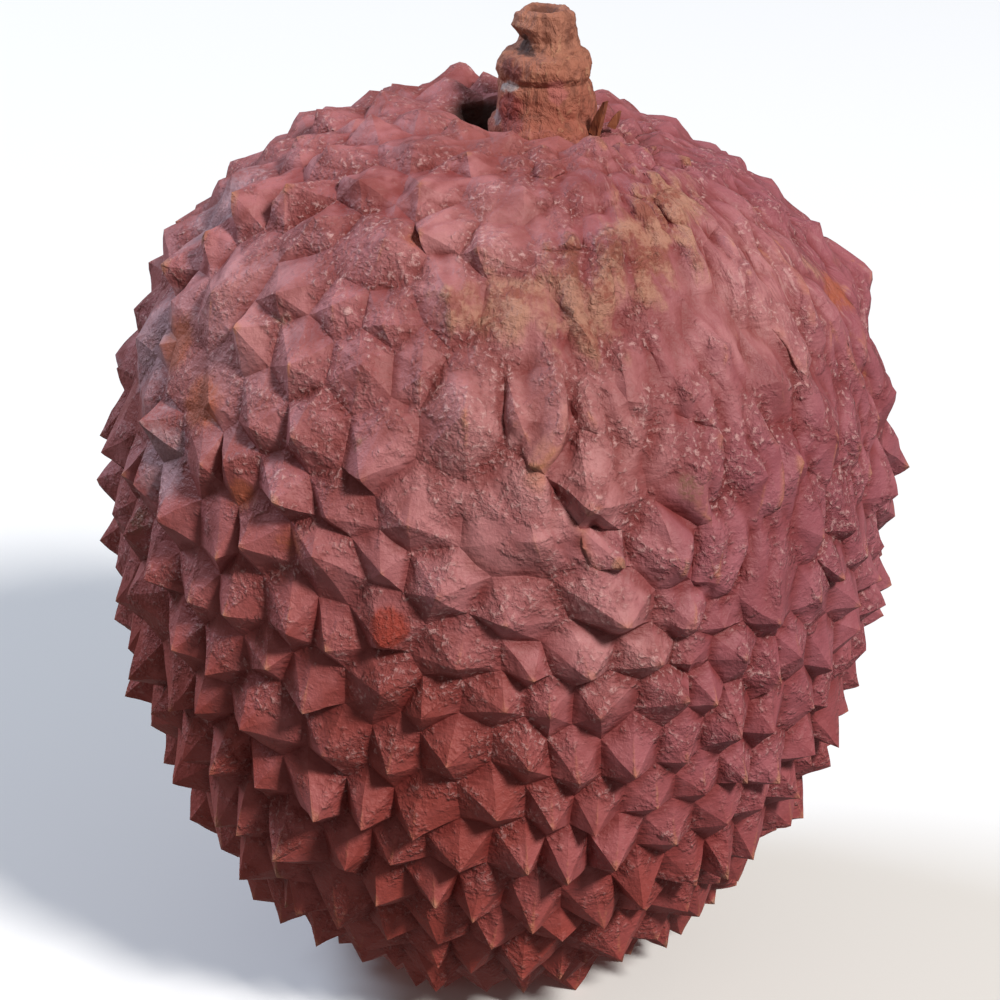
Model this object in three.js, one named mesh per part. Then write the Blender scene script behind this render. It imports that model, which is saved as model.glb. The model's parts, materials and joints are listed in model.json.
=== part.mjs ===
// A lychee as picked: one whole fruit with its bumpy skin, a stub of its stalk, and two dry sepals beside it.
// Millimetres, +Z up. The fruit stands on the pressed bumps of its lower end, and the origin is the middle
// of that base.

import * as THREE from "three";
import { ConvexHull } from "three/addons/math/ConvexHull.js";

// ---- driving dimensions ---------------------------------------------------------------------------------

// The fruit, measured to the valleys between its bumps.
const GIRTH_RADIUS = 15.45;
const HALF_HEIGHT = 18.8;
const EGG_SHARE = 0.115; // the shoulders are wider than the middle by this share, and the lower half narrower
const FULLNESS = 2.22; // the exponent of its outline: 2 is a plain ellipse, and more fills out the shoulders
const SWAY = 0.35; // how far the upper end sits to the right of the middle, and the lower end to the left
const PRESSED_DEPTH = 0.3; // how much of the lower end is pressed flat where the fruit stands

// The stalk's place on the fruit, and the hollow that it sits in.
const STALK_X = 1.8;
const STALK_Y = -0.5;
const HOLLOW_DEPTH = 0.9;
const HOLLOW_REACH = 4.2;
const SEAT_RADIUS = 2.5;
const SEAT_DEPTH = 1.1;
const SEAT_CLEARANCE = 0.15;

// The right-hand shoulder behind the stalk is lower than the left one.
const SLUMP = { x: 9, y: 3, reach: 6.5, depth: 0.9 };

// The skin's bumps, by polar angle from the stalk: the spacing of the rows, and of the bumps in a row.
const ROW_SPACING = { top: 1.85, middle: 2.35, bottom: 1.8 };
const COLUMN_SPACING = { top: 2.0, middle: 2.3, bottom: 1.95 };
const FIRST_ROW = 3.7; // from the stalk's centre line
const STEEPNESS = { top: 0.48, middle: 0.74, bottom: 0.86 }; // a bump's height over its radius
const UNEVENNESS = 0.34; // how far a bump's height strays from that, as a share of it
// How far a tip leans towards the fruit's lower end, over the bump's radius.
const DROOP = { top: 0.12, middle: 0.28, bottom: 0.26 };
const JITTER = 0.3; // how far a bump strays from its place, over the spacing
const WANDER = 0.16; // how far a tip strays from its bump's middle, over the bump's radius
const MISSING = 0.09; // the share of bumps that never grew, which leaves broader ones beside them
const SPARED = 0.14; // the share of bumps in a worn patch that keep their full height

// Patches where the bumps grew taller or wider, by azimuth (0 front, 90 right) and polar angle, in degrees.
const STRETCHED = [
  { azimuth: 50, polar: 54, across: 38, along: 26, wider: 0, taller: 0.85 },
  { azimuth: 0, polar: 52, across: 22, along: 20, wider: 0.12, taller: 0.3 },
  { azimuth: 200, polar: 62, across: 34, along: 24, wider: 0.1, taller: 0.6 },
];

// Patches where the bumps are worn down, with the share of their height that is lost.
const WORN = [
  { azimuth: 14, polar: 32, across: 22, along: 12, lost: 0.6 },
  { azimuth: -2, polar: 53, across: 18, along: 13, lost: 0.4 },
  { azimuth: 48, polar: 56, across: 36, along: 22, lost: 0.45 },
  { azimuth: 85, polar: 42, across: 32, along: 24, lost: 0.6 },
  { azimuth: -85, polar: 36, across: 32, along: 14, lost: 0.4 },
  { azimuth: -58, polar: 60, across: 16, along: 15, lost: 0.75 },
  { azimuth: 152, polar: 66, across: 28, along: 16, lost: 0.5 },
];

// The deep pit on the left behind the stalk, open to the front, where its rim sinks and the bumps are flat.
const PIT = { x: -2.7, y: 2.0, depth: 2.2, rim: 0.7 };

// The stalk: a thick foot, a ring where it would have broken off, and a thinner stub above it.
const STALK_SIDES = 18;
const STALK_PROFILE = [
  [1.7, -0.35],
  [1.98, 0.2],
  [2.0, 0.8],
  [1.93, 1.35],
  [1.88, 1.8],
  [1.76, 2.06],
  [1.9, 2.35],
  [1.92, 2.7],
  [1.74, 3.08],
  [1.32, 3.3],
  [1.2, 3.65],
  [1.17, 4.25],
  [1.08, 4.72],
  [0.88, 4.88],
  [0.45, 4.72],
];
const STALK_FOOT_DEPTH = 0.75;
const STALK_PITH_TOP = 4.4;
const STALK_LEAN = 0.01; // sideways travel per millimetre of height
const BUD = { turn: 195, height: 4.25, reach: 0.4, swell: 0.22 };
const NOTCH = { turn: 212, height: 3.5, reach: 0.28, swell: -0.4 };
const BARK_ROUGHNESS = 0.06;

// The dry sepals: where each stands from the stalk's centre line and over the seat's rim, and its lean,
// in degrees.
const SEPALS = [
  {
    name: "sepal_long", turn: -38, distance: 2.45, lift: 0.3,
    height: 1.55, width: 0.42, thickness: 0.25, lean: 20,
  },
  {
    name: "sepal_short", turn: -10, distance: 2.7, lift: 0.3,
    height: 0.75, width: 0.36, thickness: 0.24, lean: 24,
  },
];

const SEED = 20117;

// ---- small helpers --------------------------------------------------------------------------------------

const radians = THREE.MathUtils.degToRad;
const { lerp } = THREE.MathUtils;
const UP = new THREE.Vector3(0, 0, 1);

// Mulberry32: the same random numbers in [0, 1) on every run.
function randomSource(seed) {
  let state = seed >>> 0;
  return () => {
    state = (state + 0x6d2b79f5) >>> 0;
    let t = state;
    t = Math.imul(t ^ (t >>> 15), t | 1);
    t ^= t + Math.imul(t ^ (t >>> 7), t | 61);
    return ((t ^ (t >>> 14)) >>> 0) / 4294967296;
  };
}

const random = randomSource(SEED);
const spread = (amount) => (random() * 2 - 1) * amount;

// 1 at the centre of a patch, falling smoothly to 0 outside its reach.
const falloff = (across, along = 0) => Math.exp(-(across * across + along * along));

// A value that runs from top through middle to bottom as the polar angle runs from 0 to 180 degrees.
function byPolar({ top, middle, bottom }, polar) {
  const share = polar / 90;
  return share < 1 ? lerp(top, middle, share) : lerp(middle, bottom, share - 1);
}

function directionAt(azimuth, polar) {
  const around = radians(azimuth);
  const ring = Math.sin(radians(polar));
  return new THREE.Vector3(Math.sin(around) * ring, -Math.cos(around) * ring, Math.cos(radians(polar)));
}

const polarOf = (direction) => THREE.MathUtils.radToDeg(Math.acos(THREE.MathUtils.clamp(direction.z, -1, 1)));
const azimuthOf = (direction) => THREE.MathUtils.radToDeg(Math.atan2(direction.x, -direction.y));

// How far a place on the skin is from a patch's centre, in shares of its reach.
function fromPatch(azimuth, polar, patch) {
  const turn = ((azimuth - patch.azimuth + 540) % 360) - 180;
  return { across: (turn * Math.sin(radians(polar))) / patch.across, along: (polar - patch.polar) / patch.along };
}

// ---- the fruit's shape ----------------------------------------------------------------------------------

// The skin's height over the plain egg shape: the hollow round the stalk and the low right-hand shoulder.
function dip(x, y) {
  const hollow = HOLLOW_DEPTH * falloff((x - STALK_X) / HOLLOW_REACH, (y - STALK_Y) / HOLLOW_REACH);
  const slump = SLUMP.depth * falloff((x - SLUMP.x) / SLUMP.reach, (y - SLUMP.y) / SLUMP.reach);
  return hollow + slump;
}

// The point of the valley surface that lies along a unit direction from the fruit's middle.
function skinPoint(direction) {
  const ring = Math.hypot(direction.x, direction.y);
  const full = (ring ** FULLNESS + Math.abs(direction.z) ** FULLNESS) ** (-1 / FULLNESS);
  const girth = GIRTH_RADIUS * full * (1 + EGG_SHARE * direction.z);
  const x = direction.x * girth + SWAY * direction.z;
  const y = direction.y * girth;
  const z = direction.z * full * HALF_HEIGHT;
  return new THREE.Vector3(x, y, z - dip(x, y) * Math.max(direction.z, 0));
}

function skinNormal(direction) {
  const flat = 1 / GIRTH_RADIUS;
  return new THREE.Vector3(direction.x * flat, direction.y * flat, direction.z / HALF_HEIGHT).normalize();
}

// ---- where the bumps are --------------------------------------------------------------------------------

// Moves a place away from the centre of each stretched patch, which spaces the bumps there further apart.
function stretch(azimuth, polar) {
  for (const patch of STRETCHED) {
    const { across, along } = fromPatch(azimuth, polar, patch);
    const pull = falloff(across, along);
    azimuth += (across * patch.across * patch.wider * pull) / Math.max(Math.sin(radians(polar)), 0.2);
    polar += along * patch.along * patch.taller * pull;
  }
  return [azimuth, polar];
}

// Turns a direction counted from the stalk into one counted from the fruit's axis. The lower end doesn't move.
function fromStalk(direction) {
  const share = (1 + direction.z) / 2;
  const shift = new THREE.Vector3(STALK_X, STALK_Y, 0).multiplyScalar(share / GIRTH_RADIUS);
  return direction.clone().add(shift).normalize();
}

// The bumps' middles, row by row from the stalk down, each row set over the gaps of the last.
function bumpDirections() {
  const degreesPerMillimetre = THREE.MathUtils.radToDeg(1 / ((GIRTH_RADIUS + HALF_HEIGHT) / 2));
  const directions = [];
  let row = 0;
  for (let polar = FIRST_ROW * degreesPerMillimetre; polar < 177; row += 1) {
    const spacing = byPolar(COLUMN_SPACING, polar);
    const around = 2 * Math.PI * GIRTH_RADIUS * Math.sin(radians(polar));
    const count = Math.max(4, Math.round(around / spacing));
    const step = 360 / count;
    const rowStep = byPolar(ROW_SPACING, polar) * degreesPerMillimetre;
    for (let i = 0; i < count; i += 1) {
      const azimuth = (i + (row % 2) / 2 + spread(JITTER)) * step;
      const jittered = row === 0 ? polar : polar + spread(JITTER) * rowStep;
      const grown = row < 2 || random() >= MISSING;
      if (grown) directions.push(fromStalk(directionAt(...stretch(azimuth, jittered))));
    }
    polar += rowStep;
  }
  return directions;
}

function steepnessAt(direction) {
  const polar = polarOf(direction);
  const azimuth = azimuthOf(direction);
  const wear = random() < SPARED ? 0 : 1;
  let steepness = byPolar(STEEPNESS, polar);
  for (const patch of WORN) {
    const { across, along } = fromPatch(azimuth, polar, patch);
    steepness *= 1 - wear * patch.lost * falloff(across, along);
  }
  return steepness * (1 + spread(UNEVENNESS));
}

// ---- from middles to a closed skin ----------------------------------------------------------------------

// The Delaunay triangles between bumps on the unit sphere, as triples of indices. Each is one valley corner.
function trianglesBetween(directions) {
  const index = new Map(directions.map((direction, i) => [direction, i]));
  const hull = new ConvexHull().setFromPoints(directions);
  return hull.faces.map((face) => {
    const corners = [];
    let edge = face.edge;
    do {
      corners.push(index.get(edge.head().point));
      edge = edge.next;
    } while (edge !== face.edge);
    return corners;
  });
}

// The valley corners round one bump, in order, seen from outside.
function ringRound(direction, corners) {
  const side = new THREE.Vector3().crossVectors(UP, direction);
  if (side.lengthSq() < 1e-6) side.set(1, 0, 0);
  side.normalize();
  const ahead = new THREE.Vector3().crossVectors(direction, side);
  const turnOf = (corner) => Math.atan2(corner.direction.dot(ahead), corner.direction.dot(side));
  return [...corners].sort((a, b) => turnOf(a) - turnOf(b));
}

function cornerBetween(triple, directions, seat) {
  const direction = new THREE.Vector3();
  for (const i of triple) direction.add(directions[i]);
  direction.normalize();
  const point = skinPoint(direction);
  if (triple.includes(seat)) {
    const outward = new THREE.Vector2(point.x - STALK_X, point.y - STALK_Y).setLength(SEAT_RADIUS);
    point.set(STALK_X + outward.x, STALK_Y + outward.y, seatHeight());
  }
  return { direction, point };
}

// The height of the rim that the stalk stands in.
const seatHeight = () => skinPoint(fromStalk(UP)).z;

// A bump's tip: out along the skin's normal, leaning towards the fruit's lower end.
function bumpTip(direction, ring) {
  const middle = skinPoint(direction);
  const radius = ring.reduce((sum, corner) => sum + corner.point.distanceTo(middle), 0) / ring.length;
  const down = new THREE.Vector3(0, 0, -1).projectOnPlane(direction).normalize();
  const side = new THREE.Vector3().crossVectors(direction, down);
  const reach = radius / GIRTH_RADIUS;
  const leaning = direction
    .clone()
    .addScaledVector(down, (byPolar(DROOP, polarOf(direction)) + spread(WANDER)) * reach)
    .addScaledVector(side, spread(WANDER) * reach)
    .normalize();
  return skinPoint(leaning).addScaledVector(skinNormal(leaning), radius * steepnessAt(direction));
}

function fruitGeometry() {
  const directions = bumpDirections();
  const seat = directions.push(fromStalk(UP)) - 1;
  const pitPlace = new THREE.Vector3(STALK_X + PIT.x, STALK_Y + PIT.y, 0);
  const corners = trianglesBetween(directions).map((triple) => ({
    ...cornerBetween(triple, directions, seat),
    bumps: triple,
  }));

  const distanceToPit = (direction) => skinPoint(direction).setZ(0).distanceTo(pitPlace);
  const pit = directions.reduce(
    (best, direction, i) => (i !== seat && direction.z > 0 && distanceToPit(direction) < best.distance
      ? { i, distance: distanceToPit(direction) } : best),
    { i: -1, distance: Infinity },
  ).i;

  const points = corners.map((corner) => corner.point);
  const pitMiddle = skinPoint(directions[pit]).y;
  const pitCorners = corners.filter((corner) => corner.bumps.includes(pit));
  const besidePit = new Set(pitCorners.flatMap((corner) => corner.bumps));
  corners.forEach((corner, i) => {
    corner.vertex = i;
    const inFront = corner.bumps.includes(pit) && corner.point.y < pitMiddle;
    if (inFront && !corner.bumps.includes(seat)) corner.point.z -= PIT.rim;
  });
  const triangles = [];
  directions.forEach((direction, i) => {
    const ring = ringRound(direction, corners.filter((corner) => corner.bumps.includes(i)));
    let tip = bumpTip(direction, ring);
    if (besidePit.has(i) && direction.y < directions[pit].y) tip.z -= PIT.rim;
    if (i === seat) tip = new THREE.Vector3(STALK_X, STALK_Y, seatHeight() - SEAT_DEPTH);
    if (i === pit) tip = skinPoint(direction).addScaledVector(UP, -PIT.depth);
    const vertex = points.push(tip) - 1;
    ring.forEach((corner, k) => triangles.push(vertex, corner.vertex, ring[(k + 1) % ring.length].vertex));
  });

  const base = PRESSED_DEPTH - HALF_HEIGHT;
  const positions = points.flatMap((point) => [point.x, point.y, Math.max(point.z, base)]);
  return new THREE.BufferGeometry()
    .setAttribute("position", new THREE.Float32BufferAttribute(positions, 3))
    .setIndex(triangles);
}

// ---- the stalk ------------------------------------------------------------------------------------------

// How far the bark stands out at one turn and height: the bud, the notch under it, and uneven bark.
function barkSwell(turn, height) {
  const swellOf = (feature) => {
    const away = ((turn - feature.turn + 540) % 360) - 180;
    return feature.swell * falloff((height - feature.height) / feature.reach, away / 45);
  };
  const uneven = Math.sin(radians(3 * turn) + height * 2.1) + Math.sin(radians(5 * turn) - height * 3.3);
  return swellOf(BUD) + swellOf(NOTCH) + BARK_ROUGHNESS * uneven;
}

function stalkGeometry() {
  const outline = [
    new THREE.Vector2(0, -STALK_FOOT_DEPTH),
    ...STALK_PROFILE.map(([radius, height]) => new THREE.Vector2(radius, height)),
    new THREE.Vector2(0, STALK_PITH_TOP),
  ];
  const geometry = new THREE.LatheGeometry(outline, STALK_SIDES).rotateX(Math.PI / 2);
  const positions = geometry.getAttribute("position");
  for (let i = 0; i < positions.count; i += 1) {
    const point = new THREE.Vector3().fromBufferAttribute(positions, i);
    const radius = Math.hypot(point.x, point.y);
    const turn = THREE.MathUtils.radToDeg(Math.atan2(point.y, point.x));
    const swollen = radius > 1 && point.z > 0 ? 1 + barkSwell(turn, point.z) / radius : 1;
    const lean = STALK_LEAN * Math.max(point.z, 0);
    positions.setXYZ(i, point.x * swollen + lean, point.y * swollen, point.z);
  }
  return geometry;
}

// ---- a dry sepal ----------------------------------------------------------------------------------------

// A narrow blade that tapers to a blunt tip, with its foot at the origin.
function sepalGeometry({ width, height, thickness }) {
  const blade = new THREE.Shape()
    .moveTo(-width / 2, 0)
    .lineTo(width / 2, 0)
    .quadraticCurveTo(width * 0.35, height * 0.6, width * 0.16, height)
    .lineTo(-width * 0.12, height * 0.96)
    .quadraticCurveTo(-width * 0.4, height * 0.5, -width / 2, 0);
  return new THREE.ExtrudeGeometry(blade, { depth: thickness, bevelEnabled: false, curveSegments: 5 })
    .translate(0, 0, -thickness / 2)
    .rotateX(Math.PI / 2);
}

// ---- materials and assembly -----------------------------------------------------------------------------

const skinMaterial = () => new THREE.MeshStandardMaterial({ color: 0x9a5650, roughness: 0.62, flatShading: true });
const barkMaterial = () => new THREE.MeshStandardMaterial({ color: 0xa5694b, roughness: 0.85, flatShading: true });
const sepalMaterial = () => new THREE.MeshStandardMaterial({ color: 0x8f5535, roughness: 0.9, flatShading: true });

function namedMesh(name, geometry, material) {
  const mesh = new THREE.Mesh(geometry, material);
  mesh.name = name;
  return mesh;
}

function makeFruit() {
  return namedMesh("fruit", fruitGeometry(), skinMaterial());
}

function makeStalk() {
  const stalk = namedMesh("stalk", stalkGeometry(), barkMaterial());
  stalk.position.set(STALK_X, STALK_Y, seatHeight() + SEAT_CLEARANCE);
  return stalk;
}

function makeSepal(sepal) {
  const mesh = namedMesh(sepal.name, sepalGeometry(sepal), sepalMaterial());
  const turn = radians(sepal.turn);
  const x = STALK_X + Math.cos(turn) * sepal.distance;
  const y = STALK_Y + Math.sin(turn) * sepal.distance;
  mesh.position.set(x, y, seatHeight() + sepal.lift);
  mesh.rotation.set(0, radians(sepal.lean), turn, "ZYX");
  return mesh;
}

// Stands the parts on Z = 0, with the origin under the middle of their bounding box.
function assemble(meshes) {
  const parts = new THREE.Group().add(...meshes);
  const box = new THREE.Box3().setFromObject(parts, true);
  const middle = box.getCenter(new THREE.Vector3());
  parts.position.set(-middle.x, -middle.y, -box.min.z);
  return new THREE.Group().add(parts);
}

export default assemble([makeFruit(), makeStalk(), ...SEPALS.map(makeSepal)]);
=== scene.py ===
"""A lychee with its stalk and dry sepals: the looks that go round its solids, and a plain stage."""

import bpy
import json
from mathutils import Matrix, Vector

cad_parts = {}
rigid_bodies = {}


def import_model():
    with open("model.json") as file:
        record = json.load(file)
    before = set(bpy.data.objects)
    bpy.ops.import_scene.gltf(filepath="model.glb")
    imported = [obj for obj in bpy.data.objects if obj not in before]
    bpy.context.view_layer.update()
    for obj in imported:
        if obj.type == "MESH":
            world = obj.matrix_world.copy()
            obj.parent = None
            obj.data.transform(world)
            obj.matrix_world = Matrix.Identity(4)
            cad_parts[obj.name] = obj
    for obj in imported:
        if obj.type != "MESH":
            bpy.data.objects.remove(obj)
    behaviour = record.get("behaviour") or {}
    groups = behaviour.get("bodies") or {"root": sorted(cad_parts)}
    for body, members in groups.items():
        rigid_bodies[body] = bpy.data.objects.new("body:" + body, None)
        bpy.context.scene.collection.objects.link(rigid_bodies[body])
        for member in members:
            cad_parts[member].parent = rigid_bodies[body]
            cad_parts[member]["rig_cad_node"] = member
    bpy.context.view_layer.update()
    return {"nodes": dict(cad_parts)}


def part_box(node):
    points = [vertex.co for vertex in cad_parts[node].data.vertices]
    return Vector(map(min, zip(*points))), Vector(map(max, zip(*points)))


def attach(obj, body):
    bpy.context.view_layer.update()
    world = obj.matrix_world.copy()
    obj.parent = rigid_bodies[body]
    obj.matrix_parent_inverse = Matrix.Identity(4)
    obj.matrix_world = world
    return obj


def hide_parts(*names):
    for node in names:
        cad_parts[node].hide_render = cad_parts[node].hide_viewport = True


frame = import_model()

import json
import math

import bpy
from bpy.props import FloatProperty, FloatVectorProperty, IntProperty, PointerProperty
from mathutils import Vector, noise

bl_info = {
    "name": "Lychee",
    "version": (1, 0, 0),
    "blender": (4, 5, 0),
    "location": "3D View > Sidebar > Lychee",
    "description": "Grows a lychee's skin, stalk and sepals round its solids and sets it on a pale stage",
    "category": "Object",
}

MM = 0.001
FRUIT_LOW, FRUIT_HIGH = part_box("fruit")
MIDDLE = (FRUIT_LOW + FRUIT_HIGH) / 2
REACH = (FRUIT_HIGH - FRUIT_LOW) / 2
STALK_LOW, STALK_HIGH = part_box("stalk")
STALK_TOP = Vector(((STALK_LOW.x + STALK_HIGH.x) / 2, (STALK_LOW.y + STALK_HIGH.y) / 2, STALK_HIGH.z))

# How far round the stalk, and how far above the floor, the skin keeps close to its solid.
COLLAR = 2.6 * MM
FLAT_BAND = 0.8 * MM


def on_fruit(azimuth, polar):
    """The place on the fruit's plain shape by its azimuth, from 0 at the front to 90 at the right, and its
    angle from the top, both in degrees."""
    around, down = math.radians(azimuth), math.radians(polar)
    outward = Vector((math.sin(around) * math.sin(down), -math.cos(around) * math.sin(down), math.cos(down)))
    return MIDDLE + REACH * outward


def by_stalk(right, back, below):
    """A place by its distance, in millimetres, from the middle of the stalk's upper end."""
    return STALK_TOP + Vector((right, back, -below)) * MM


def spots(*places):
    """Patches on the fruit, by azimuth, angle from the top and reach in millimetres. Each comes back as its
    centre and reach in metres."""
    return [(on_fruit(azimuth, polar), reach * MM) for azimuth, polar, reach in places]


# Where the skin has long folds, level bumps, drawn-out tips, and small bumps near the stalk.
FOLDS = spots(
    (8, 60, 5.0), (22, 44, 4.5), (32, 66, 6.0), (54, 58, 7.0), (80, 62, 6.0), (45, 36, 4.5),
    (200, 62, 8.0), (210, 50, 5.0), (140, 60, 4.0))
LEVEL = spots((4, 66, 6.5), (24, 46, 6.0), (60, 50, 6.0), (195, 62, 8.0), (100, 95, 4.0))
SPIKY = spots((-25, 26, 6.5), (-60, 38, 6.5), (25, 22, 5.0))
STUDDED = spots((-25, 24, 6.0), (-65, 34, 5.5), (25, 22, 5.0), (90, 25, 4.0), (180, 28, 6.0))

# Patches of colour, grain and painted sheen on the skin. Each of these is kept as an attribute of its mesh.
PATCHES = {
    "pale": spots((5, 62, 8.0), (-50, 52, 6.0), (15, 84, 4.0), (46, 46, 6.5), (-5, 36, 4.5)),
    "warm": spots((-36, 84, 6.5), (-4, 98, 6.5), (-60, 100, 6.0)),
    "stranded": spots((54, 44, 6.0), (78, 55, 5.0), (38, 30, 4.0), (205, 45, 7.0)),
    "scurf": spots(
        (6, 42, 3.8), (24, 41, 4.2), (36, 35, 3.4), (46, 31, 2.4), (-6, 46, 3.4), (14, 50, 2.8),
        (70, 48, 2.2), (170, 52, 5.0), (118, 70, 3.5)),
    # Dusty bloom on the left, partly painted sheen of the cool light from the left.
    "dust_and_sheen": spots((-58, 70, 3.6), (-72, 58, 4.6), (-80, 40, 4.5), (-95, 74, 4.0), (-130, 62, 4.0)),
    "crumbs": spots(
        (-5, 58, 3.2), (8, 72, 3.0), (-30, 60, 3.0), (30, 60, 2.5), (55, 78, 3.5), (-12, 92, 3.0),
        (18, 88, 2.6)),
    "ochre": spots(
        (-39, 70, 1.4), (-51, 61, 2.2), (-63, 56, 2.2), (-30, 74, 1.4), (73, 52, 1.8), (-20, 36, 1.6)),
    "rust": spots((-15, 82, 1.5), (-11, 85.5, 0.9), (160, 88, 1.2)),
    "moss": spots((-40, 48, 1.0), (-63, 79, 1.6), (-20, 61, 0.8), (26, 66, 0.9), (150, 60, 1.2)),
}
# Single dark specks, which are too small for the mesh to hold.
SPECKS = spots((-17, 42, 0.2), (-20.5, 30.6, 0.17), (-19, 31.2, 0.19), (-17.5, 31.6, 0.17), (30, 95, 0.22))


def paint(red, green, blue):
    """A screen colour, 0 to 255, as the linear colour that shaders use."""
    def linear(level):
        share = level / 255
        return share / 12.92 if share <= 0.04045 else ((share + 0.055) / 1.055) ** 2.4
    return (linear(red), linear(green), linear(blue))


# ---- shader maths ----

class Value:
    """A socket that carries a value. Python's operators on it add Math nodes."""

    def __init__(self, shader, socket):
        self.shader, self.socket = shader, socket

    def maths(self, operation, *inputs):
        return self.shader.node("ShaderNodeMath", {"operation": operation}, dict(enumerate(inputs)))

    def __add__(self, other):
        return self.maths("ADD", self, other)

    def __sub__(self, other):
        return self.maths("SUBTRACT", self, other)

    def __rsub__(self, other):
        return self.maths("SUBTRACT", other, self)

    def __mul__(self, other):
        return self.maths("MULTIPLY", self, other)

    def __truediv__(self, other):
        return self.maths("DIVIDE", self, other)

    def __rtruediv__(self, other):
        return self.maths("DIVIDE", other, self)

    def __pow__(self, power):
        return self.maths("POWER", self, power)

    __radd__ = __add__
    __rmul__ = __mul__

    def limited(self):
        """The value held between 0 and 1."""
        return self.shader.node("ShaderNodeClamp", {}, {"Value": self})

    def rise(self, low, high):
        """0 where the value is under low, 1 where it is over high, and smooth between them."""
        return self.shader.node("ShaderNodeMapRange", {"interpolation_type": "SMOOTHSTEP"},
                                {"Value": self, "From Min": low, "From Max": high})


class Shader:
    """A material's node tree, and the few ways that this file adds to it."""

    def __init__(self, name):
        self.material = bpy.data.materials.new(name)
        self.material.use_nodes = True
        self.tree = self.material.node_tree
        self.surface = self.tree.nodes["Principled BSDF"]

    def node(self, kind, settings, inputs, output=0):
        """Adds a node: its settings first, then the value or link of each socket. Returns one output."""
        node = self.tree.nodes.new(kind)
        for name, setting in settings.items():
            setattr(node, name, setting)
        for name, value in inputs.items():
            self.feed(node.inputs[name], value)
        return Value(self, node.outputs[output])

    def feed(self, socket, value):
        """Links a value to a socket, or sets the socket to a number, a vector or a colour."""
        if isinstance(value, Value):
            self.tree.links.new(value.socket, socket)
        elif socket.type == "RGBA":
            socket.default_value = (*value, 1)
        else:
            socket.default_value = value

    def place(self):
        """The place on the piece, in metres. All of the pieces share one frame."""
        return self.node("ShaderNodeTexCoord", {}, {}, "Object")

    def attribute(self, name):
        return self.node("ShaderNodeAttribute", {"attribute_name": name}, {}, "Fac")

    def axes(self, vector):
        """The x, y and z of a vector."""
        split = self.node("ShaderNodeSeparateXYZ", {}, {"Vector": vector}).socket.node
        return [Value(self, socket) for socket in split.outputs]

    def noise(self, place, size, detail=2.0, roughness=0.5, distortion=0.0):
        """Cloudy noise from 0 to 1, whose clouds are about size metres across."""
        return self.node("ShaderNodeTexNoise", {}, {
            "Vector": place, "Scale": 1 / size, "Detail": detail,
            "Roughness": roughness, "Distortion": distortion})

    def near(self, place, centre, reach, softness=0.5):
        """1 close to a point, falling to 0 at reach metres from it."""
        away = self.node("ShaderNodeVectorMath", {"operation": "DISTANCE"},
                         {0: place, 1: tuple(centre)}, "Value")
        return 1 - away.rise(reach * (1 - softness), reach)

    def stretched(self, place, scale):
        """A place whose patterns come out longer along each axis that has a scale under 1."""
        return self.node("ShaderNodeMapping", {}, {"Vector": place, "Scale": scale})

    def ragged(self, place, size, amount):
        """The place moved about by up to amount metres, which frays the edge of what is drawn at it."""
        shift = self.node("ShaderNodeTexNoise", {},
                          {"Vector": place, "Scale": 1 / size, "Detail": 3.0}, "Color")
        return self.node("ShaderNodeVectorMath", {"operation": "MULTIPLY_ADD"},
                         {0: shift, 1: (2 * amount,) * 3, 2: self.moved(place, (-amount,) * 3)})

    def down_the_fruit(self, place):
        """A place whose patterns come out as strands that run down from the stalk."""
        x, y, z = self.axes(self.moved(place, (-STALK_TOP.x, -STALK_TOP.y, 0)))
        ring = (x * x + y * y) ** 0.5
        around = REACH.x / (ring + 0.2 * MM)
        along = (z - ring) * 0.2
        return self.node("ShaderNodeCombineXYZ", {}, {"X": x * around, "Y": y * around, "Z": along})

    def moved(self, place, by):
        return self.node("ShaderNodeVectorMath", {"operation": "ADD"}, {0: place, 1: by})

    def mixed(self, base, coat, share):
        """The base colour with the coat's colour over it, by share."""
        return self.node("ShaderNodeMix", {"data_type": "RGBA"},
                         {"Factor": share, 6: base, 7: coat}, 2)

    def coated(self, colour, *coats):
        """The colour under some coats, each given as its colour and its share, with the last on top."""
        for coat, share in coats:
            colour = self.mixed(colour, coat, share)
        return colour

    def bump(self, height, depth):
        return self.node("ShaderNodeBump", {}, {"Height": height, "Distance": depth, "Strength": 1.0})

    def finish(self, colour, roughness, normal, **constants):
        """Feeds the surface and returns the material. The constants are other sockets of the surface."""
        self.feed(self.surface.inputs["Base Color"], colour)
        self.feed(self.surface.inputs["Roughness"], roughness)
        if normal is not None:
            self.feed(self.surface.inputs["Normal"], normal)
        for name, value in constants.items():
            self.feed(self.surface.inputs[name.replace("_", " ")], value)
        return self.material


# ---- working on meshes ----

def select_only(piece):
    """Makes a piece the only one selected, and the active one."""
    bpy.ops.object.select_all(action="DESELECT")
    piece.select_set(True)
    bpy.context.view_layer.objects.active = piece


def edit(piece):
    """Opens a piece's mesh for editing with all of it selected."""
    select_only(piece)
    bpy.ops.object.mode_set(mode="EDIT")
    bpy.ops.mesh.select_all(action="SELECT")


def copy_of_solid(node, name):
    """A copy of a node's solid as a piece of its own, with its loose triangles merged."""
    select_only(frame["nodes"][node])
    bpy.ops.object.duplicate()
    piece = bpy.context.object
    piece.name = piece.data.name = name
    del piece["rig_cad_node"]
    piece.data.materials.clear()
    edit(piece)
    bpy.ops.mesh.customdata_custom_splitnormals_clear()
    bpy.ops.mesh.remove_doubles(threshold=1e-6)
    bpy.ops.object.mode_set(mode="OBJECT")
    return piece


def weigh(piece, name, weights):
    """Stores a weight for each vertex in a vertex group."""
    group = piece.vertex_groups.get(name) or piece.vertex_groups.new(name=name)
    for index, weight in enumerate(weights):
        group.add([index], min(max(weight, 0.0), 1.0), "REPLACE")


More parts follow.
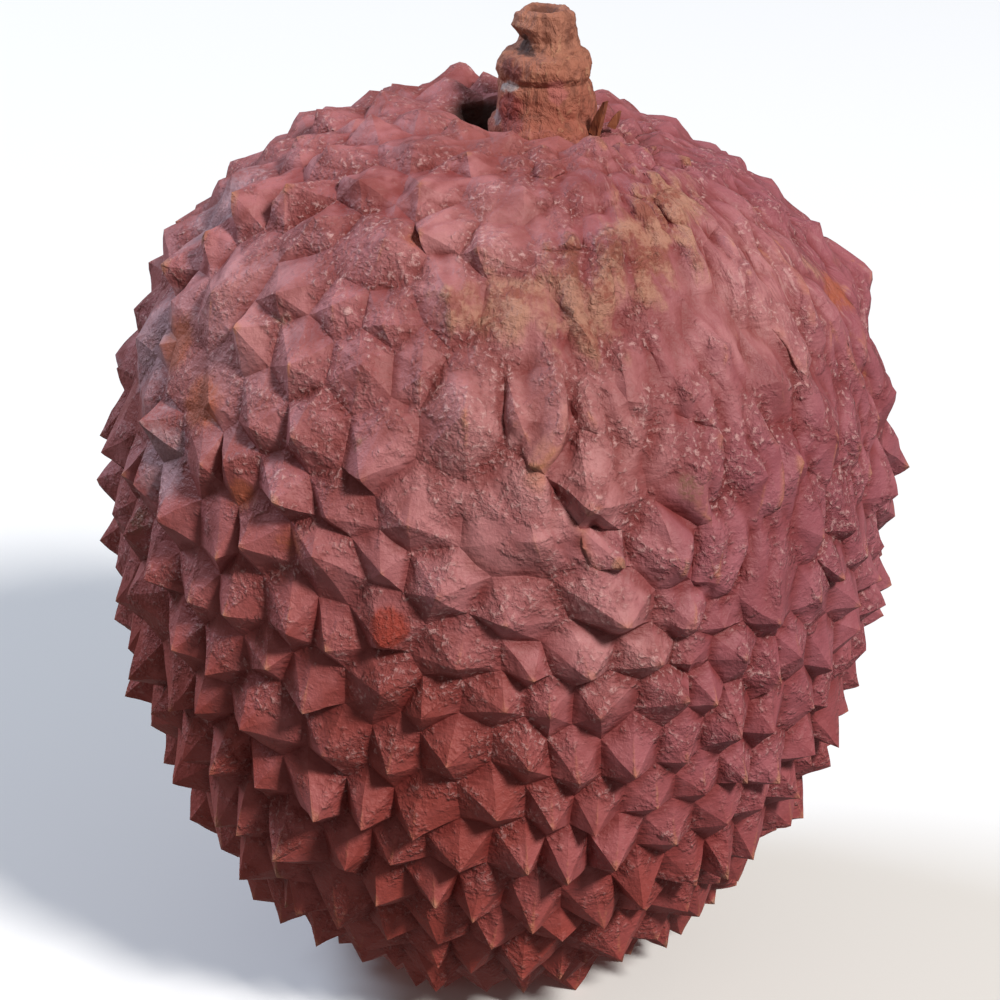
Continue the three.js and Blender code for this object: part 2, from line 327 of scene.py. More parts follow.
def weights_of(piece, name):
    """The weight of each vertex in a vertex group, 0 where it isn't in it."""
    group = piece.vertex_groups[name].index
    return [next((member.weight for member in vertex.groups if member.group == group), 0.0)
            for vertex in piece.data.vertices]


def apply(piece, kind, settings):
    """Adds a modifier to the piece, with its settings, and applies it."""
    select_only(piece)
    modifier = piece.modifiers.new(kind.title(), kind)
    for name, setting in settings.items():
        setattr(modifier, name, setting)
    bpy.ops.object.modifier_apply(modifier=modifier.name)


def texture(kind, size, settings):
    """A pattern for displacing a surface, whose features are about size metres across."""
    pattern = bpy.data.textures.new(kind.title(), kind)
    pattern.noise_scale = size
    for name, setting in settings.items():
        setattr(pattern, name, setting)
    return pattern


def displace(piece, height, group="", pattern=None, middle=0.5, direction="NORMAL"):
    """Moves a piece's surface by a pattern, or straight out where it is given none."""
    settings = {"strength": height, "mid_level": middle, "direction": direction, "vertex_group": group}
    if pattern is not None:
        settings["texture"] = pattern
        settings["texture_coords"] = "LOCAL"
    apply(piece, "DISPLACE", settings)


def raise_by(piece, height, name, shares):
    """Raises a piece's surface by a height that is shared out vertex by vertex."""
    weigh(piece, name, shares)
    displace(piece, height, name, middle=0.0)


def nearness(place, centre, reach):
    """1 at the centre, falling smoothly to about 0 at twice the reach."""
    away = (place - centre).length / reach
    return math.exp(-away * away)


def closeness(place, patches):
    """How near a place on the fruit is to the nearest of some patches."""
    return max(nearness(place, centre, reach) for centre, reach in patches)


def coverage(place, patches):
    """How far some patches cover a place: 1 at their centres, falling smoothly to 0 at their reach."""
    share = 0.0
    for centre, reach in patches:
        away = (place - centre).length / reach
        if away < 1:
            share += 1 - away * away * (3 - 2 * away)
    return share


def clearance(place):
    """0 beside the stalk's foot, rising to 1 away from it."""
    return 1 - nearness(place, Vector((STALK_TOP.x, STALK_TOP.y, FRUIT_HIGH.z)), COLLAR)


def keep_attribute(piece, name, values):
    """Keeps a value for each vertex, for the piece's material to read."""
    stored = piece.data.attributes.new(name, "FLOAT", "POINT")
    stored.data.foreach_set("value", values)


def dress(piece, material, node):
    """Gives a finished piece its material and its place in the model."""
    piece.data.materials.append(material)
    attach(piece, "root")
    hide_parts(node)


# ---- the skin ----

TIP_HEIGHT = 0.1 * MM               # a vertex of the solid that stands out by more than this is a tip
RIDGE_ANGLE = math.radians(15)      # edges that bend by more than this stay as ridges and valleys
FOLD_WIDTH, FOLD_LENGTH = 1.7 * MM, 5.0 * MM
FOLD_SEAM = math.radians(100)       # the azimuth where the folds' pattern starts and ends
STUD_SIZE = 1.35 * MM               # from one small bump round the stalk to the next
GROOVE = 0.14                       # how far up a fold or small bump the painted shade of its groove reaches
CREST = 0.35                        # how far up a fold its worn crest begins

PALE_SKIN = paint(184, 126, 126)
WARM_SKIN = paint(144, 62, 54)
SEAT_SKIN = paint(146, 82, 76)
# Painted shade, laid dark in the pit beside the stalk.
PIT_SHADE = paint(52, 26, 21)
OLD_SCURF = paint(138, 78, 62)
MOSS = paint(112, 82, 58)
OCHRE = paint(160, 84, 58)
SPECK = paint(36, 18, 16)

# The skin under the stalk, and the pit beside it, which is painted dark as shade.
SEAT, SEAT_REACH = by_stalk(-0.8, -2.0, 5.2), 5.5 * MM
PIT, PIT_REACH = by_stalk(-2.4, 1.5, 6.4), 2.7 * MM


class RindSettings(bpy.types.PropertyGroup):
    """Sizes and colours of the skin."""

    fineness: IntProperty(
        name="Fineness", description="Cuts along each edge of the solid's faces", default=6, min=1, max=6)
    spike: FloatProperty(
        name="Spike", description="How far the tips are drawn out where the skin is spiky",
        default=0.3 * MM, unit="LENGTH", precision=6)
    warp: FloatProperty(
        name="Warp", description="How far bumps are pushed out of their even shapes",
        default=0.42 * MM, unit="LENGTH", precision=6)
    fold: FloatProperty(
        name="Fold", description="Height of the long folds that run down the skin in some patches",
        default=1.15 * MM, unit="LENGTH", precision=6)
    crease: FloatProperty(
        name="Crease", description="Height of the creases that run over the bumps",
        default=0.18 * MM, unit="LENGTH", precision=6)
    stud: FloatProperty(
        name="Stud", description="Height of the small bumps round the stalk",
        default=0.32 * MM, unit="LENGTH", precision=6)
    wrinkle: FloatProperty(
        name="Wrinkle", description="Height of the fine wrinkles",
        default=0.05 * MM, unit="LENGTH", precision=6)
    crinkle: FloatProperty(
        name="Crinkle", description="Depth of the finest wrinkles, which only the material has",
        default=0.26 * MM, unit="LENGTH", precision=6)
    rose: FloatVectorProperty(
        name="Rose", description="Colour of the brighter skin", subtype="COLOR", default=paint(166, 102, 105))
    russet: FloatVectorProperty(
        name="Russet", description="Colour of the duller skin", subtype="COLOR", default=paint(134, 70, 69))
    mauve: FloatVectorProperty(
        name="Mauve", description="Colour of the skin on the right", subtype="COLOR",
        default=paint(147, 81, 96))
    # Umber: browner skin at the lower end, and painted shade of the underside.
    umber_and_underside_shade: FloatVectorProperty(
        name="Umber", description="Colour of the lower end", subtype="COLOR", default=paint(148, 61, 52))
    # Painted shade, laid in the valleys between bumps, in the grooves of the folds and in the finest
    # wrinkles.
    painted_shade: FloatVectorProperty(
        name="Shade", description="Colour in the valleys between bumps", subtype="COLOR",
        default=paint(110, 35, 31))
    tan: FloatVectorProperty(
        name="Tan", description="Colour of the scurfy patches", subtype="COLOR", default=paint(174, 126, 106))
    amber: FloatVectorProperty(
        name="Amber", description="Colour of worn crests", subtype="COLOR", default=paint(186, 122, 88))
    # Pale flecks and threads, partly painted highlight on the crests of the finest wrinkles.
    fleck_and_highlight: FloatVectorProperty(
        name="Fleck", description="Colour of the pale flecks", subtype="COLOR", default=paint(210, 168, 166))
    # Bloom on the left, partly painted sheen of the cool light from the left.
    bloom_and_sheen: FloatVectorProperty(
        name="Bloom", description="Colour of the dusty bloom", subtype="COLOR", default=paint(166, 142, 150))
    rust: FloatVectorProperty(
        name="Rust", description="Colour of the few rust-red spots", subtype="COLOR",
        default=paint(152, 54, 38))


class RindPatterns:
    """The patterns that the skin's colours and relief share, each a value from 0 to about 1."""

    def __init__(self, shader):
        self.place = shader.place()
        self.tip = shader.attribute("peak")
        self.edge = shader.attribute("edge")
        self.clouds = shader.noise(self.place, 6 * MM, 3.0, 0.6)
        self.mottle = shader.noise(shader.moved(self.place, (0.1, 0.2, 0.3)), 1.4 * MM, 4.0, 0.6)
        self.grain = shader.noise(self.place, 0.22 * MM, 3.0, 0.65)
        self.crinkle = shader.noise(self.place, 0.22 * MM, 4.0, 0.62, 0.35)
        self.strands = shader.noise(shader.down_the_fruit(self.place), 0.5 * MM, 3.0, 0.6, 0.5)
        clusters = shader.noise(shader.moved(self.place, (0.7, 0.1, 0.4)), 1.7 * MM, 4.0, 0.6)
        self.rough = (clusters + shader.attribute("crumbs") * 0.12).rise(0.46, 0.6)
        self.fray = 1 + (self.mottle - 0.5) * 2 + (self.grain - 0.5) * 1.2
        x, _, z = shader.axes(self.place)
        self.right = (x + (self.clouds - 0.5) * (14 * MM)).rise(-2 * MM, 12 * MM)
        # Low on the fruit, where the umber is partly painted shade of the underside.
        self.low = 1 - (z + x * 0.3 + (self.clouds - 0.5) * (12 * MM)).rise(2 * MM, 26 * MM)
        scurf = shader.attribute("scurf") + (self.clouds - 0.5) * 1.4 + (self.mottle - 0.5) * 1.2
        self.scurf = (scurf + (self.strands - 0.5) * 0.8 + (self.edge - 0.5) * 2.4).rise(0.4, 1.05)


def ground_colour(shader, at, settings):
    """Rose and russet clouds, mauve on the right, and umber at the lower end: browner skin and painted shade.
    """
    cloudy = (at.clouds * 0.5 + at.mottle * 0.5).rise(0.4, 0.6)
    pale = (shader.attribute("pale") * at.fray).limited() * (0.4 + at.mottle * 0.5)
    warm = (shader.attribute("warm") * at.fray).limited()
    return shader.coated(
        shader.mixed(settings.russet, settings.rose, cloudy),
        (settings.mauve, at.right * 0.6),
        (settings.umber_and_underside_shade, at.low * 0.85),
        (PALE_SKIN, pale),
        (WARM_SKIN, warm * 0.55))


def shaded(shader, colour, at, settings):
    """Painted shade in the grooves of the folds and in the valleys between bumps, where shade falls."""
    groove = shader.attribute("groove").rise(0.0, 0.8) * (0.3 + at.mottle)
    valley = (1 - at.tip.rise(0.0, 0.35)) * 0.2 + (1 - at.edge.rise(0.25, 0.48)) * 0.6
    return shader.coated(
        colour,
        (settings.painted_shade, groove.limited() * 0.5),
        (settings.painted_shade, valley.limited() * 0.8))


def flecked(shader, colour, at, settings):
    """Moss, pale flecks of rough skin partly painted highlight, and dark lines of painted shade in its finest
    wrinkles.
    """
    moss = (shader.attribute("moss") * at.fray).rise(0.2, 0.7) * (0.4 + at.grain.rise(0.4, 0.6) * 0.6)
    # Pale flecks, partly painted highlight on the crests of the finest wrinkles.
    flecks_and_highlights = at.crinkle.rise(0.52, 0.68) * at.rough + at.grain.rise(0.64, 0.74) * 0.3
    # Painted shade: dark lines in the hollows of the finest wrinkles.
    lines = (1 - at.crinkle.rise(0.34, 0.46)) * at.rough
    return shader.coated(
        colour,
        (MOSS, moss * 0.7),
        (settings.fleck_and_highlight, flecks_and_highlights * (1 - at.low * 0.6) * 0.58),
        (settings.painted_shade, lines * 0.22))


def worn(shader, colour, at, settings):
    """Amber on ridges, on worn crests and along strands, and pale threads between the strands."""
    ridges = shader.attribute("ridge").rise(0.3, 0.9) * (at.mottle * 0.7 + at.clouds * 0.5).rise(0.54, 0.68)
    edges = at.edge.rise(0.58, 0.72) * (at.mottle + at.clouds * 0.5).rise(0.62, 0.86) * (1 - at.low * 0.6)
    crests = shader.attribute("crest").rise(0.1, 0.6) * (at.mottle * 0.6 + at.clouds * 0.6).rise(0.5, 0.7)
    threads = at.strands.rise(0.58, 0.7) * (shader.attribute("stranded") * at.fray).rise(0.1, 0.7)
    amber = (edges + crests * 0.8 + threads * at.mottle.rise(0.5, 0.62)) * 0.5
    return shader.coated(
        colour,
        (settings.amber, ridges * (0.6 - at.low * 0.25) * at.grain.rise(0.3, 0.6)),
        (settings.amber, amber.limited()),
        (settings.fleck_and_highlight, threads * (1 - at.mottle.rise(0.45, 0.58)) * 0.4))


def scurfy(shader, colour, at, settings):
    """Tan scurf, which is older and browner in places."""
    scurf_tone = shader.mixed(OLD_SCURF, settings.tan, (at.grain * 0.35 + at.mottle * 0.65).rise(0.42, 0.56))
    return shader.mixed(colour, scurf_tone, at.scurf * 0.85)


def marked(shader, colour, at, settings):
    """Bloom and painted sheen, ochre and rust-red spots, specks, the skin under the stalk and painted shade
    in the pit.
    """
    # Bloom on the left, partly painted sheen of the cool side light.
    dust_and_sheen = (shader.attribute("dust_and_sheen") + (at.mottle - 0.5) * 1.2 + (at.grain - 0.5) * 0.8).rise(0.35, 0.9)
    ochre = (shader.attribute("ochre") * at.fray).rise(0.25, 0.8)
    rust = (shader.attribute("rust") * at.fray).rise(0.15, 0.45) * (0.6 + at.mottle * 0.4)
    specks = [(SPECK, shader.near(at.place, centre, reach) * 0.9) for centre, reach in SPECKS]
    seat = shader.near(at.place, SEAT, SEAT_REACH, 0.8) * (0.3 + at.mottle * 0.5)
    return shader.coated(
        colour,
        (settings.bloom_and_sheen, dust_and_sheen * 0.5),
        (OCHRE, ochre * 0.8),
        (settings.rust, rust),
        *specks,
        (SEAT_SKIN, seat),
        # Painted shade in the pit.
        (PIT_SHADE, shader.near(at.place, PIT, PIT_REACH, 0.3)))


def rind_material(settings):
    shader = Shader("lychee rind")
    at = RindPatterns(shader)
    colour = ground_colour(shader, at, settings)
    for layer in (shaded, flecked, worn, scurfy, marked):
        colour = layer(shader, colour, at, settings)

    stranded = shader.attribute("stranded").rise(0.1, 0.8)
    pleats = shader.noise(shader.stretched(at.place, (1, 1, 4)), 0.9 * MM, 2.0, 0.5)
    fine = at.crinkle * (0.25 + at.rough * 0.6 + at.scurf * 0.5) * (1 - stranded * 0.4)
    relief = fine + at.strands * stranded * 0.6 + pleats * (1 - at.tip.rise(0.0, 0.6)) * 0.25
    roughness = 0.52 + at.rough * 0.15 + at.scurf * 0.1
    return shader.finish(colour, roughness, shader.bump(relief, settings.crinkle), Specular_IOR_Level=0.28)


def proudness(mesh):
    """How far each vertex stands out from the mean of its neighbours."""
    around = [[] for _ in mesh.vertices]
    for first, second in (line.vertices for line in mesh.edges):
        around[first].append(mesh.vertices[second].co)
        around[second].append(mesh.vertices[first].co)
    return [(vertex.co - sum(near, Vector()) / len(near)).dot(vertex.normal)
            for vertex, near in zip(mesh.vertices, around)]


def along_ridges(mesh, tips):
    """1 on the sharp upright ridges near the tips of bumps, falling off down each ridge, and 0 off them."""
    ridges = [0.0] * len(tips)
    for line in mesh.edges:
        if line.use_edge_sharp:
            first, second = (mesh.vertices[corner].co for corner in line.vertices)
            upright = max(abs((first - second).normalized().z) - 0.7, 0.0) / 0.3
            for corner in line.vertices:
                ridges[corner] = max(ridges[corner], min(tips[corner] * 1.3, 1.0) * upright)
    return ridges


def settle(skin, lift):
    """Levels the bumps over the flat patches and draws out the tips of the spiky ones."""
    level, spiky = [], []
    for vertex, tip in zip(skin.data.vertices, weights_of(skin, "tip")):
        clear = clearance(vertex.co) if vertex.co.z > FLAT_BAND else 0.0
        uneven = 0.5 + noise.noise(vertex.co / (3 * MM))
        level.append(clear * (closeness(vertex.co, LEVEL) * 0.4 + uneven * 0.35))
        spiky.append(clear * closeness(vertex.co, SPIKY) * tip)
    weigh(skin, "level", level)
    apply(skin, "SMOOTH", {"factor": 0.5, "iterations": 1, "vertex_group": "level"})
    raise_by(skin, lift, "spiky", spiky)


def divide(skin, cuts):
    """Marks the ridges and valleys of the bumps as sharp, then cuts each face into smaller ones."""
    edit(skin)
    bpy.ops.mesh.select_all(action="DESELECT")
    bpy.ops.mesh.edges_select_sharp(sharpness=RIDGE_ANGLE)
    bpy.ops.mesh.mark_sharp()
    bpy.ops.mesh.select_all(action="SELECT")
    bpy.ops.mesh.subdivide(number_cuts=cuts)
    bpy.ops.object.mode_set(mode="OBJECT")


def loosen(skin, free, settings):
    """Pushes the bumps out of their even shapes, creases them and wrinkles them, most near the top."""
    loose = []
    for vertex, share in zip(skin.data.vertices, free):
        height = min(max(vertex.co.z / FRUIT_HIGH.z, 0.0), 1.0)
        loose.append(share * (0.5 + 0.5 * height ** 1.5) * (1 - 0.5 * closeness(vertex.co, SPIKY)))
    weigh(skin, "free", free)
    weigh(skin, "loose", loose)
    clouds = texture("CLOUDS", 2.2 * MM, {"cloud_type": "COLOR"})
    plates = texture("VORONOI", 1.6 * MM, {"weight_1": -1.0, "weight_2": 1.0})
    displace(skin, settings.warp, "loose", clouds, direction="RGB_TO_XYZ")
    displace(skin, settings.crease, "loose", plates, middle=0.4)
    displace(skin, settings.wrinkle, "free", texture("CLOUDS", 0.5 * MM, {"noise_depth": 2}))
    apply(skin, "SMOOTH", {"factor": 0.5, "iterations": 1, "vertex_group": "loose"})


def fold(place):
    """The height, from 0 to 1, of the long folds that run down the fruit, at a place on it."""
    around = (math.atan2(place.x, -place.y) + FOLD_SEAM) % math.tau
    down = math.acos(max(-1.0, min(1.0, (place.z - MIDDLE.z) / (place - MIDDLE).length)))
    sway = noise.noise(place / (2.5 * MM))
    across = around * REACH.x / FOLD_WIDTH + sway * 0.7
    along = down * REACH.z / FOLD_LENGTH + noise.noise(place / (1.8 * MM)) * 0.3
    first, second = noise.voronoi((across, along, 0))[0][:2]
    return second - first


def stud(place):
    """The height, from 0 to 1, of the small bumps round the stalk, at a place on the fruit."""
    first, second = noise.voronoi(place / STUD_SIZE)[0][:2]
    return second - first


def raise_folds(skin, places, free, settings):
    """Raises the long folds and the small bumps round the stalk. Keeps their grooves and crests."""
    folded, folds, studded, studs = [], [], [], []
    for place, share in zip(places, free):
        clear = share * clearance(place)
        folded.append(clear * closeness(place, FOLDS))
        studded.append(clear * closeness(place, STUDDED))
        folds.append(fold(place))
        studs.append(stud(place))
    raise_by(skin, settings.fold, "folds", [share * height for share, height in zip(folded, folds)])
    raise_by(skin, settings.stud, "studs", [share * height for share, height in zip(studded, studs)])
    # The groove attribute says where painted shade goes in the grooves.
    keep_attribute(skin, "groove", [
        max(fold_share * (1 - fold_rise / GROOVE), stud_share * (1 - stud_rise / GROOVE), 0.0)
        for fold_share, fold_rise, stud_share, stud_rise in zip(folded, folds, studded, studs)])
    keep_attribute(skin, "crest", [
        share * max(height - CREST, 0.0) * 2.5 for share, height in zip(folded, folds)])


def keep_edges(skin):
    """Keeps how far each place stands on an edge or in a hollow as the colour attribute edge."""
    select_only(skin)
    bpy.ops.object.mode_set(mode="VERTEX_PAINT")
    bpy.ops.paint.vertex_color_dirt(blur_strength=1.0, blur_iterations=1, dirt_angle=0.0)
    bpy.ops.object.mode_set(mode="OBJECT")
    skin.data.color_attributes[0].name = "edge"


class LYCHEE_OT_rind(bpy.types.Operator):
    """Grows the bumpy skin from the fruit's solid."""

    bl_idname = "lychee.rind"
    bl_label = "Skin"

    def execute(self, context):
        settings = context.scene.lychee_rind
        skin = copy_of_solid("fruit", "rind")
        weigh(skin, "tip", [1.0 if height > TIP_HEIGHT else 0.0 for height in proudness(skin.data)])
        settle(skin, settings.spike)
        divide(skin, settings.fineness)
        tips = weights_of(skin, "tip")
        ridges = along_ridges(skin.data, tips)
        free = [min(vertex.co.z / FLAT_BAND, 1.0) for vertex in skin.data.vertices]
        loosen(skin, free, settings)

        places = [vertex.co.copy() for vertex in skin.data.vertices]
        raise_folds(skin, places, free, settings)
        for name, patch in PATCHES.items():
            keep_attribute(skin, name, [coverage(place, patch) for place in places])
        keep_attribute(skin, "peak", tips)
        keep_attribute(skin, "ridge", ridges)
        keep_edges(skin)
        bpy.ops.object.shade_smooth()
        dress(skin, rind_material(settings), "fruit")
        return {"FINISHED"}


# ---- the stalk ----

PITH = by_stalk(0, -0.1, 0)         # the middle of the hole in the stalk's upper end
PITH_REACH, PITH_DEPTH = 0.45 * MM, 0.6 * MM
FOOT_HEIGHT = 1.5 * MM              # how far up the stalk its foot reaches

FOOT_EDGE = paint(152, 86, 66)
BARK_PINK = paint(170, 102, 96)
BARK_DARK = paint(98, 54, 42)
# Pale fibres, partly painted highlight on the raised fibres.
PALE_FIBRE_AND_HIGHLIGHT = paint(190, 144, 112)
FOOT_RUST = paint(158, 74, 50)
SEPAL_DARK = paint(112, 58, 38)

# The first four rows darken the mouth of the pith hole and small hollows in front of it and on its left:
# painted shade. The rest are knots, scars and pale chips of the bark. Each row gives how far the spot is to
# the right, back and below the middle of the stalk's upper end, and its reach, all in millimetres, then its
# colour.
BARK_SPOTS = (
    (0.0, 0.25, 0.55, 0.85, paint(84, 42, 28)),
    (0.0, -1.1, 1.0, 0.25, paint(110, 58, 40)),
    (-0.95, -0.6, 1.3, 0.55, paint(50, 28, 26)),
    (-0.65, -0.95, 1.5, 0.35, paint(58, 34, 32)),
    (-1.7, -1.0, 2.1, 0.55, paint(108, 46, 40)),
    (-1.35, -1.4, 2.25, 0.5, paint(112, 48, 42)),
    (-1.75, -0.95, 2.85, 0.34, paint(156, 144, 142)),
    (-1.4, -1.3, 2.9, 0.32, paint(162, 146, 142)),
    (-1.85, -0.8, 4.2, 0.4, paint(146, 122, 124)),
    (-1.5, -1.35, 3.7, 0.75, paint(138, 58, 56)),
    (-1.3, -1.5, 4.4, 0.7, paint(126, 52, 50)),
    (0.5, -1.9, 2.95, 0.6, paint(168, 96, 90)),
)


class StalkSettings(bpy.types.PropertyGroup):
    """Sizes and colours of the stalk and sepals."""

    grain: FloatProperty(
        name="Grain", description="Height of the bark's unevenness",
        default=0.2 * MM, unit="LENGTH", precision=6)
    flare: FloatProperty(
        name="Flare", description="How far the foot spreads over the skin",
        default=0.4 * MM, unit="LENGTH", precision=6)
    bark: FloatVectorProperty(
        name="Bark", description="Colour of the stalk's upper part", subtype="COLOR",
        default=paint(160, 103, 83))
    foot: FloatVectorProperty(
        name="Foot", description="Colour of the stalk's foot", subtype="COLOR", default=paint(147, 78, 64))
    sepal: FloatVectorProperty(
        name="Sepal", description="Colour of the dry sepals", subtype="COLOR", default=paint(146, 84, 56))


def bark_material(settings):
    shader = Shader("lychee bark")
    place = shader.place()
    below = (STALK_TOP.z - shader.axes(place)[2]) * (1 / MM)
    fibre = shader.noise(shader.stretched(place, (1, 1, 0.45)), 0.5 * MM, 4.0, 0.65, 0.8)
    mottle = shader.noise(place, 0.9 * MM, 3.0, 0.6)
    grain = shader.noise(place, 0.2 * MM, 3.0, 0.6)
    frayed = shader.ragged(place, 0.5 * MM, 0.35 * MM)
    bark_spots = [(tone, shader.near(frayed, by_stalk(right, back, down), reach * MM, 0.4) * 0.85)
                  for right, back, down, reach, tone in BARK_SPOTS]
    colour = shader.coated(
        shader.mixed(settings.bark, settings.foot, (below + (mottle - 0.5) * 3).rise(2.2, 4.2)),
        (FOOT_EDGE, (below + mottle).rise(1.9, 2.6) * 0.5),
        (BARK_PINK, (mottle + (below - 4.6) * 0.12).rise(0.5, 0.66) * 0.5),
        (BARK_DARK, (1 - fibre.rise(0.34, 0.5)) * 0.5),
        # Pale fibres, partly painted highlight on the raised fibres of the bump.
        (PALE_FIBRE_AND_HIGHLIGHT, fibre.rise(0.56, 0.7) * 0.4),
        (FOOT_RUST, (below + (mottle - 0.5) * 2).rise(4.8, 6.0) * 0.5),
        *bark_spots)
    normal = shader.bump(fibre + mottle * 0.4 + grain * 0.25, 0.3 * MM)
    return shader.finish(colour, 0.7 + mottle * 0.15, normal)


def sepal_material(settings):
    shader = Shader("lychee dry sepal")
    fibre = shader.noise(shader.stretched(shader.place(), (1, 1, 0.2)), 0.25 * MM, 3.0, 0.6)
    colour = shader.mixed(SEPAL_DARK, settings.sepal, fibre.rise(0.35, 0.6))
    return shader.finish(colour, 0.75, shader.bump(fibre, 0.1 * MM))


class LYCHEE_OT_stalk(bpy.types.Operator):
    """Shapes the stalk's rough bark from its solid."""

    bl_idname = "lychee.stalk"
    bl_label = "Stalk"

    def execute(self, context):
        settings = context.scene.lychee_stalk
        stalk = copy_of_solid("stalk", "stalk_bark")
        apply(stalk, "SUBSURF", {"levels": 3, "render_levels": 3, "subdivision_type": "SIMPLE"})
        apply(stalk, "SMOOTH", {"factor": 0.5, "iterations": 2})
        places = [vertex.co.copy() for vertex in stalk.data.vertices]
        middle = FOOT_HEIGHT / 2
        weigh(stalk, "hole", [nearness(place, PITH, PITH_REACH) for place in places])
        displace(stalk, -PITH_DEPTH, "hole", middle=0.0, direction="Z")
        raise_by(stalk, settings.flare, "foot", [
            1 - abs(place.z - STALK_LOW.z - middle) / middle for place in places])
        displace(stalk, settings.grain, pattern=texture("CLOUDS", 0.9 * MM, {"noise_depth": 3}))
        displace(stalk, settings.grain * 0.5, pattern=texture("CLOUDS", 0.3 * MM, {"noise_depth": 2}))
        select_only(stalk)
        bpy.ops.object.shade_smooth()
        dress(stalk, bark_material(settings), "stalk")
        return {"FINISHED"}


class LYCHEE_OT_sepals(bpy.types.Operator):
    """Shapes the two dry sepals from their solids."""

    bl_idname = "lychee.sepals"
    bl_label = "Sepals"

    def execute(self, context):
        material = sepal_material(context.scene.lychee_stalk)
        for node in ("sepal_long", "sepal_short"):
            sepal = copy_of_solid(node, "dry_" + node)
            edit(sepal)
            bpy.ops.mesh.subdivide(number_cuts=3)
            bpy.ops.object.mode_set(mode="OBJECT")
            displace(sepal, 0.12 * MM, pattern=texture("CLOUDS", 0.5 * MM, {"noise_depth": 2}))
            select_only(sepal)
            bpy.ops.object.shade_smooth_by_angle(angle=math.radians(50))
            dress(sepal, material, node)
        return {"FINISHED"}


# ---- the stage ----

FLOOR_SIZE = 6.0
LIGHT_DISTANCE = 1.0
LIT_POINT = Vector((0, 0, 20 * MM))     # the point that both lights face
WARM_WHITE, COOL_WHITE, SKY_WHITE = (1.0, 0.96, 0.9), (0.72, 0.83, 1.0), (1.0, 0.96, 0.93)
SENSOR_WIDTH = 36
NEAREST, FARTHEST = 0.005, 10           # what the camera sees, by its distance


class StageSettings(bpy.types.PropertyGroup):
    """The floor, the light and the camera."""

    elevation: FloatProperty(
        name="Elevation", description="How far above level the camera looks from", default=math.radians(22),
        subtype="ANGLE")
    distance: FloatProperty(
        name="Distance", description="From the camera to what it looks at", default=0.13, unit="LENGTH")
    lens: FloatProperty(
        name="Lens", description="The camera's focal length in millimetres", default=111.24, unit="CAMERA")
    aim: FloatVectorProperty(
        name="Aim", description="The point that the camera looks at", subtype="TRANSLATION",
        default=(-0.00013, 0.00036, 0.0199))
    floor: FloatVectorProperty(
        name="Floor", description="Colour of the floor", subtype="COLOR", default=(0.82, 0.82, 0.82))
    sky: FloatProperty(name="Sky", description="Strength of the light from all round", default=0.24)
    key: FloatProperty(
        name="Key", description="Power of the light on the right, in watts", default=11.4, unit="POWER")
    cool: FloatProperty(
        name="Cool", description="Power of the cool light on the left, in watts", default=8.0, unit="POWER")


def add_camera(settings):
    back = Vector((0, -math.cos(settings.elevation), math.sin(settings.elevation)))
    aim = Vector(settings.aim)
    bpy.ops.object.camera_add(location=aim + back * settings.distance,
                              rotation=(math.pi / 2 - settings.elevation, 0, 0))
    camera = bpy.context.object
    camera.name = "camera"
    camera.data.lens = settings.lens
    camera.data.sensor_width = SENSOR_WIDTH
    camera.data.clip_start = NEAREST
    camera.data.clip_end = FARTHEST
    bpy.context.scene.camera = camera


def add_light(name, azimuth, elevation, size, power, colour):
    """A soft square light, by its direction from the fruit: azimuth 0 is in front and 90 on the right."""
    around, up = math.radians(azimuth), math.radians(elevation)
    towards = Vector((math.sin(around) * math.cos(up), -math.cos(around) * math.cos(up), math.sin(up)))
    bpy.ops.object.light_add(type="AREA", location=LIT_POINT + towards * LIGHT_DISTANCE,
                             rotation=towards.to_track_quat("Z", "Y").to_euler())
    light = bpy.context.object
    light.name = name
    light.data.size = size
    light.data.energy = power
    light.data.color = colour


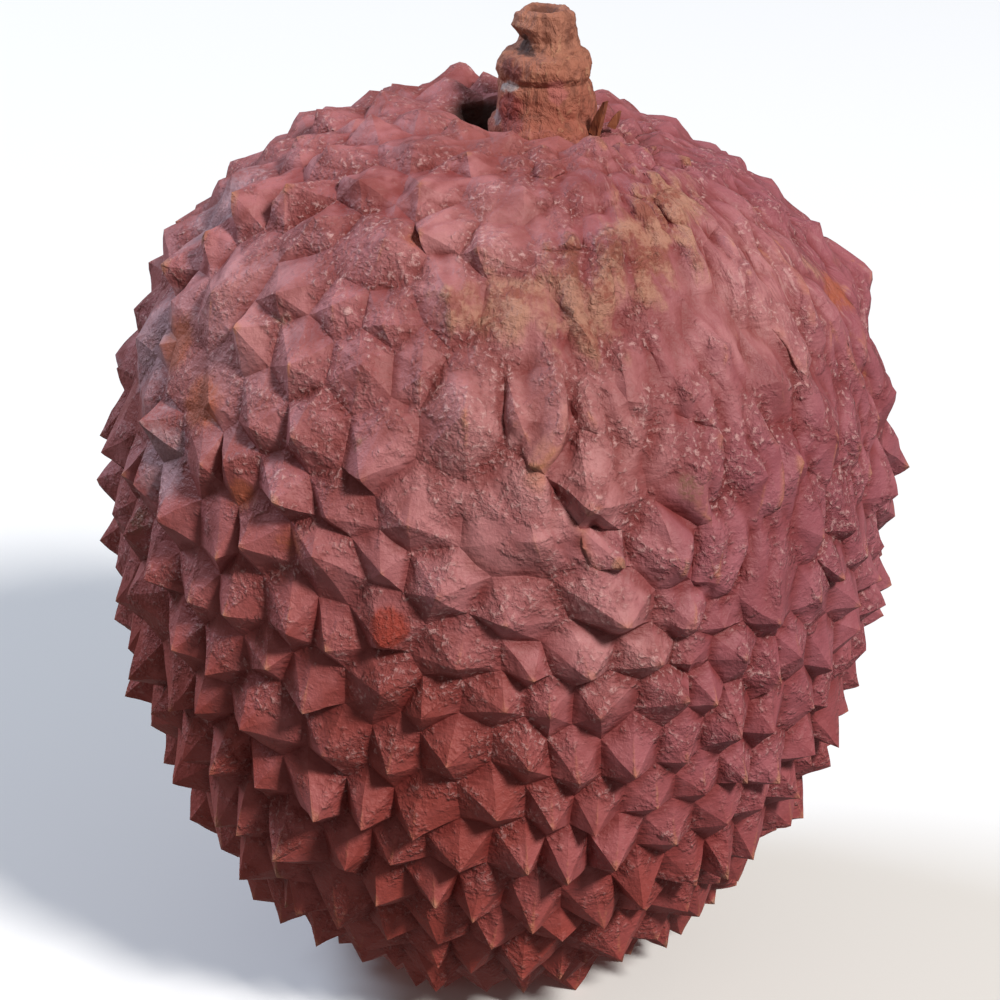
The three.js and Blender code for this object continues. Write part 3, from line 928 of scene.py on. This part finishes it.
class LYCHEE_OT_stage(bpy.types.Operator):
    """Sets out the pale floor, the studio light and the camera."""

    bl_idname = "lychee.stage"
    bl_label = "Stage"

    def execute(self, context):
        settings = context.scene.lychee_stage
        bpy.ops.object.select_all(action="DESELECT")
        bpy.ops.mesh.primitive_plane_add(size=FLOOR_SIZE, location=(0, 0, 0))
        floor = context.object
        floor.name = "floor"
        floor.data.materials.append(Shader("pale floor").finish(settings.floor, 0.9, None))
        floor.visible_diffuse = False
        floor.visible_glossy = False

        world = bpy.data.worlds.new("studio")
        world.use_nodes = True
        sky = world.node_tree.nodes["Background"]
        sky.inputs["Color"].default_value = (*SKY_WHITE, 1)
        sky.inputs["Strength"].default_value = settings.sky
        context.scene.world = world
        context.scene.view_settings.view_transform = "Standard"

        add_light("key", 40, 42, 0.16, settings.key, WARM_WHITE)
        add_light("cool_side", -116, 38, 0.4, settings.cool, COOL_WHITE)
        add_camera(settings)
        return {"FINISHED"}


class LYCHEE_PT_sidebar(bpy.types.Panel):
    """The lychee's pieces and stage in the sidebar."""

    bl_label = "Lychee"
    bl_idname = "LYCHEE_PT_sidebar"
    bl_space_type = "VIEW_3D"
    bl_region_type = "UI"
    bl_category = "Lychee"

    def draw(self, context):
        for operator, settings in STEPS:
            box = self.layout.box()
            box.operator(operator.bl_idname)
            if settings is not None:
                group = getattr(context.scene, settings)
                for name in group.__annotations__:
                    box.prop(group, name)


STEPS = (
    (LYCHEE_OT_rind, "lychee_rind"),
    (LYCHEE_OT_stalk, "lychee_stalk"),
    (LYCHEE_OT_sepals, None),
    (LYCHEE_OT_stage, "lychee_stage"),
)
GROUPS = {"lychee_rind": RindSettings, "lychee_stalk": StalkSettings, "lychee_stage": StageSettings}
CLASSES = (*GROUPS.values(), *(operator for operator, _ in STEPS), LYCHEE_PT_sidebar)


def register():
    for kind in CLASSES:
        bpy.utils.register_class(kind)
    for name, group in GROUPS.items():
        setattr(bpy.types.Scene, name, PointerProperty(type=group))


def unregister():
    for name in GROUPS:
        delattr(bpy.types.Scene, name)
    for kind in reversed(CLASSES):
        bpy.utils.unregister_class(kind)


def main():
    register()
    bpy.ops.lychee.rind()
    bpy.ops.lychee.stalk()
    bpy.ops.lychee.sepals()
    bpy.ops.lychee.stage()


if __name__ == "__main__":
    main()
